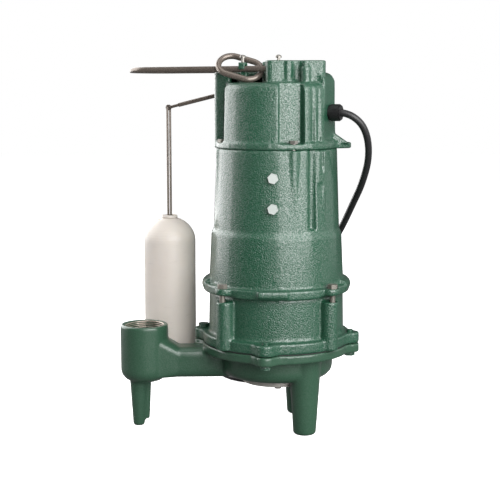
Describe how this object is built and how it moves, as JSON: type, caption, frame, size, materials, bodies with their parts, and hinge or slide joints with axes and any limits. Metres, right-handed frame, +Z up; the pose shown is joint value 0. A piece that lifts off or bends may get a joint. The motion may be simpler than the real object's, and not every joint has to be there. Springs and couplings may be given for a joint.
{
  "type": "submersible sump pump",
  "caption": "Submersible cast-iron sump pump with side discharge, three legs, float switch on a swing arm, float guard, lifting ring and power cord.",
  "frame": {"origin": "on the floor, in the middle of the pump's bounding box without its cord; the motor shaft stands at x = 0.043 m, y = -0.0038 m", "axes": "+Z up along the motor shaft; the discharge port stands out along -X; the float is towards -X and +Y"},
  "size_m": [0.2881, 0.4232, 0.431],
  "materials": {
    "green_paint": "satin, over rough castings",
    "inlet_casting": "cast, matt",
    "bright_steel": "zinc plated",
    "bronze_steel": "plated, warm",
    "gasket_rubber": "matt",
    "white_plug": "gloss",
    "gland_plastic": "satin",
    "seal_rubber": "matt",
    "cord_jacket": "satin",
    "tie_plastic": "matt",
    "plug_plastic": "matt",
    "brass": "satin",
    "stainless": "polished",
    "steel": "ground",
    "bearing_balls": "polished",
    "lamination": "stacked sheet",
    "copper": "enamelled copper wire",
    "end_ring": "cast",
    "protector": "matt",
    "capacitor": "matt",
    "impeller": "as cast",
    "ceramic": "ground ceramic",
    "carbon": "lapped carbon",
    "switch_case": "matt",
    "switch_button": "gloss",
    "float_plastic": "satin polyethylene"
  },
  "bodies": {
    "pump_body": {"volute_casing": "green_paint", "inlet_plate": "inlet_casting", "inlet_plate_screws": "bright_steel", "volute_gasket": "gasket_rubber", "flange_bolts": "green_paint", "lower_housing": "green_paint", "housing_o_ring": "gasket_rubber", "motor_housing": "green_paint", "housing_bolts": "bronze_steel", "hex_plugs": "white_plug", "cap_gasket": "gasket_rubber", "top_cap": "green_paint", "cap_bolts": "bright_steel", "block_bolt": "green_paint", "cord_gland": "gland_plastic", "gland_seal": "seal_rubber", "power_cord": "cord_jacket", "cord_coil": "cord_jacket", "cord_tail": "cord_jacket", "cord_tie": "tie_plastic", "plug_body": "plug_plastic", "plug_blades": "brass", "plug_ground_pin": "brass", "float_guard": "stainless", "guard_screws": "bright_steel", "stator_core": "lamination", "stator_windings": "copper", "thermal_protector": "protector", "run_capacitor": "capacitor", "upper_bearing_outer": "steel", "upper_bearing_balls": "bearing_balls", "lower_bearing_outer": "steel", "lower_bearing_balls": "bearing_balls", "wave_washer": "steel", "seal_seat": "ceramic", "arm_seat": "brass", "float_switch": "switch_case"},
    "rotor": {"shaft": "steel", "rotor_core": "lamination", "rotor_end_rings": "end_ring", "upper_bearing_inner": "steel", "lower_bearing_inner": "steel", "retaining_ring": "steel", "impeller": "impeller", "impeller_nut": "steel", "seal_ring": "carbon", "seal_spring": "steel", "seal_bellows": "gasket_rubber"},
    "float_arm": {"float_arm": "stainless", "arm_ball": "gasket_rubber", "arm_pivot_pin": "steel"},
    "float_rod": {"float_rod": "stainless", "rod_stop": "steel"},
    "float": {"float_shell": "float_plastic", "float_bushing": "float_plastic"},
    "switch_plunger": {"switch_plunger": "switch_button"},
    "lift_ring": {"lift_ring": "stainless"}
  },
  "joints": [
    {"name": "rotor_spin", "type": "hinge", "parent": "pump_body", "child": "rotor", "pos_m": [0.043, -0.0038, 0.2], "axis": [0, 0, 1], "continuous": true},
    {"name": "float_arm_swing", "type": "hinge", "parent": "pump_body", "child": "float_arm", "pos_m": [-0.00895, 0.02199, 0.3877], "axis": [0.4446, 0.8957, 0], "range_deg": [0, 26]},
    {"name": "float_rod_hang", "type": "hinge", "parent": "float_arm", "child": "float_rod", "pos_m": [-0.0815, 0.058, 0.3693], "axis": [0.4446, 0.8957, 0], "range_deg": [-26, 0]},
    {"name": "float_slide", "type": "slide", "parent": "float_rod", "child": "float", "axis": [0, 0, 1], "range_m": [0, 0.09]},
    {"name": "switch_plunge", "type": "slide", "parent": "pump_body", "child": "switch_plunger", "axis": [0, 0, -1], "range_m": [0, 0.006]},
    {"name": "lift_ring_swing", "type": "hinge", "parent": "pump_body", "child": "lift_ring", "pos_m": [0.02345, -0.02429, 0.4075], "axis": [0.4118, 0.6455, 0.6432], "range_deg": [0, 68]}
  ],
  "couplings": [
    {"joint": "float_rod_hang", "follows": "float_arm_swing", "ratio": -1},
    {"joint": "switch_plunge", "follows": "float_arm_swing", "m_per_rad": 0.0079}
  ]
}
